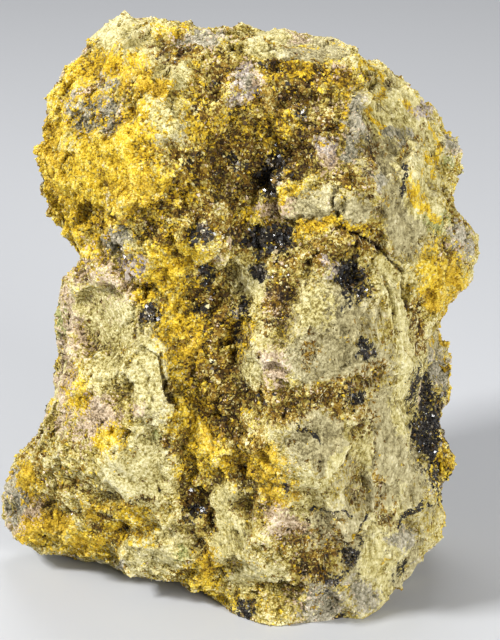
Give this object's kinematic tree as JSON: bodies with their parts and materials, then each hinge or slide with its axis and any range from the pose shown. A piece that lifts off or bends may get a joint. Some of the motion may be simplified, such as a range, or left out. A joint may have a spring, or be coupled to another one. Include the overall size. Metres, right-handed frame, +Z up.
{
  "type": "sklodowskite mineral specimen",
  "caption": "Upright broken ore specimen crusted with yellow and pale sklodowskite, black seams and an overhanging boss, resting on a flat broken underside.",
  "frame": {"origin": "middle of the bounding box in X and Y, at the flat underside", "axes": "+Z up along the specimen's height, -Y out of the broad front face, +X to the right of that face"},
  "size_m": [0.0646, 0.0462, 0.0761],
  "materials": {
    "crusted_ore": "matt granular crust, golden yellow to chalky pale green, with dark brown seams and shiny black spots"
  },
  "bodies": {
    "root": {"sklodowskite_specimen": "crusted_ore"}
  },
  "joints": []
}
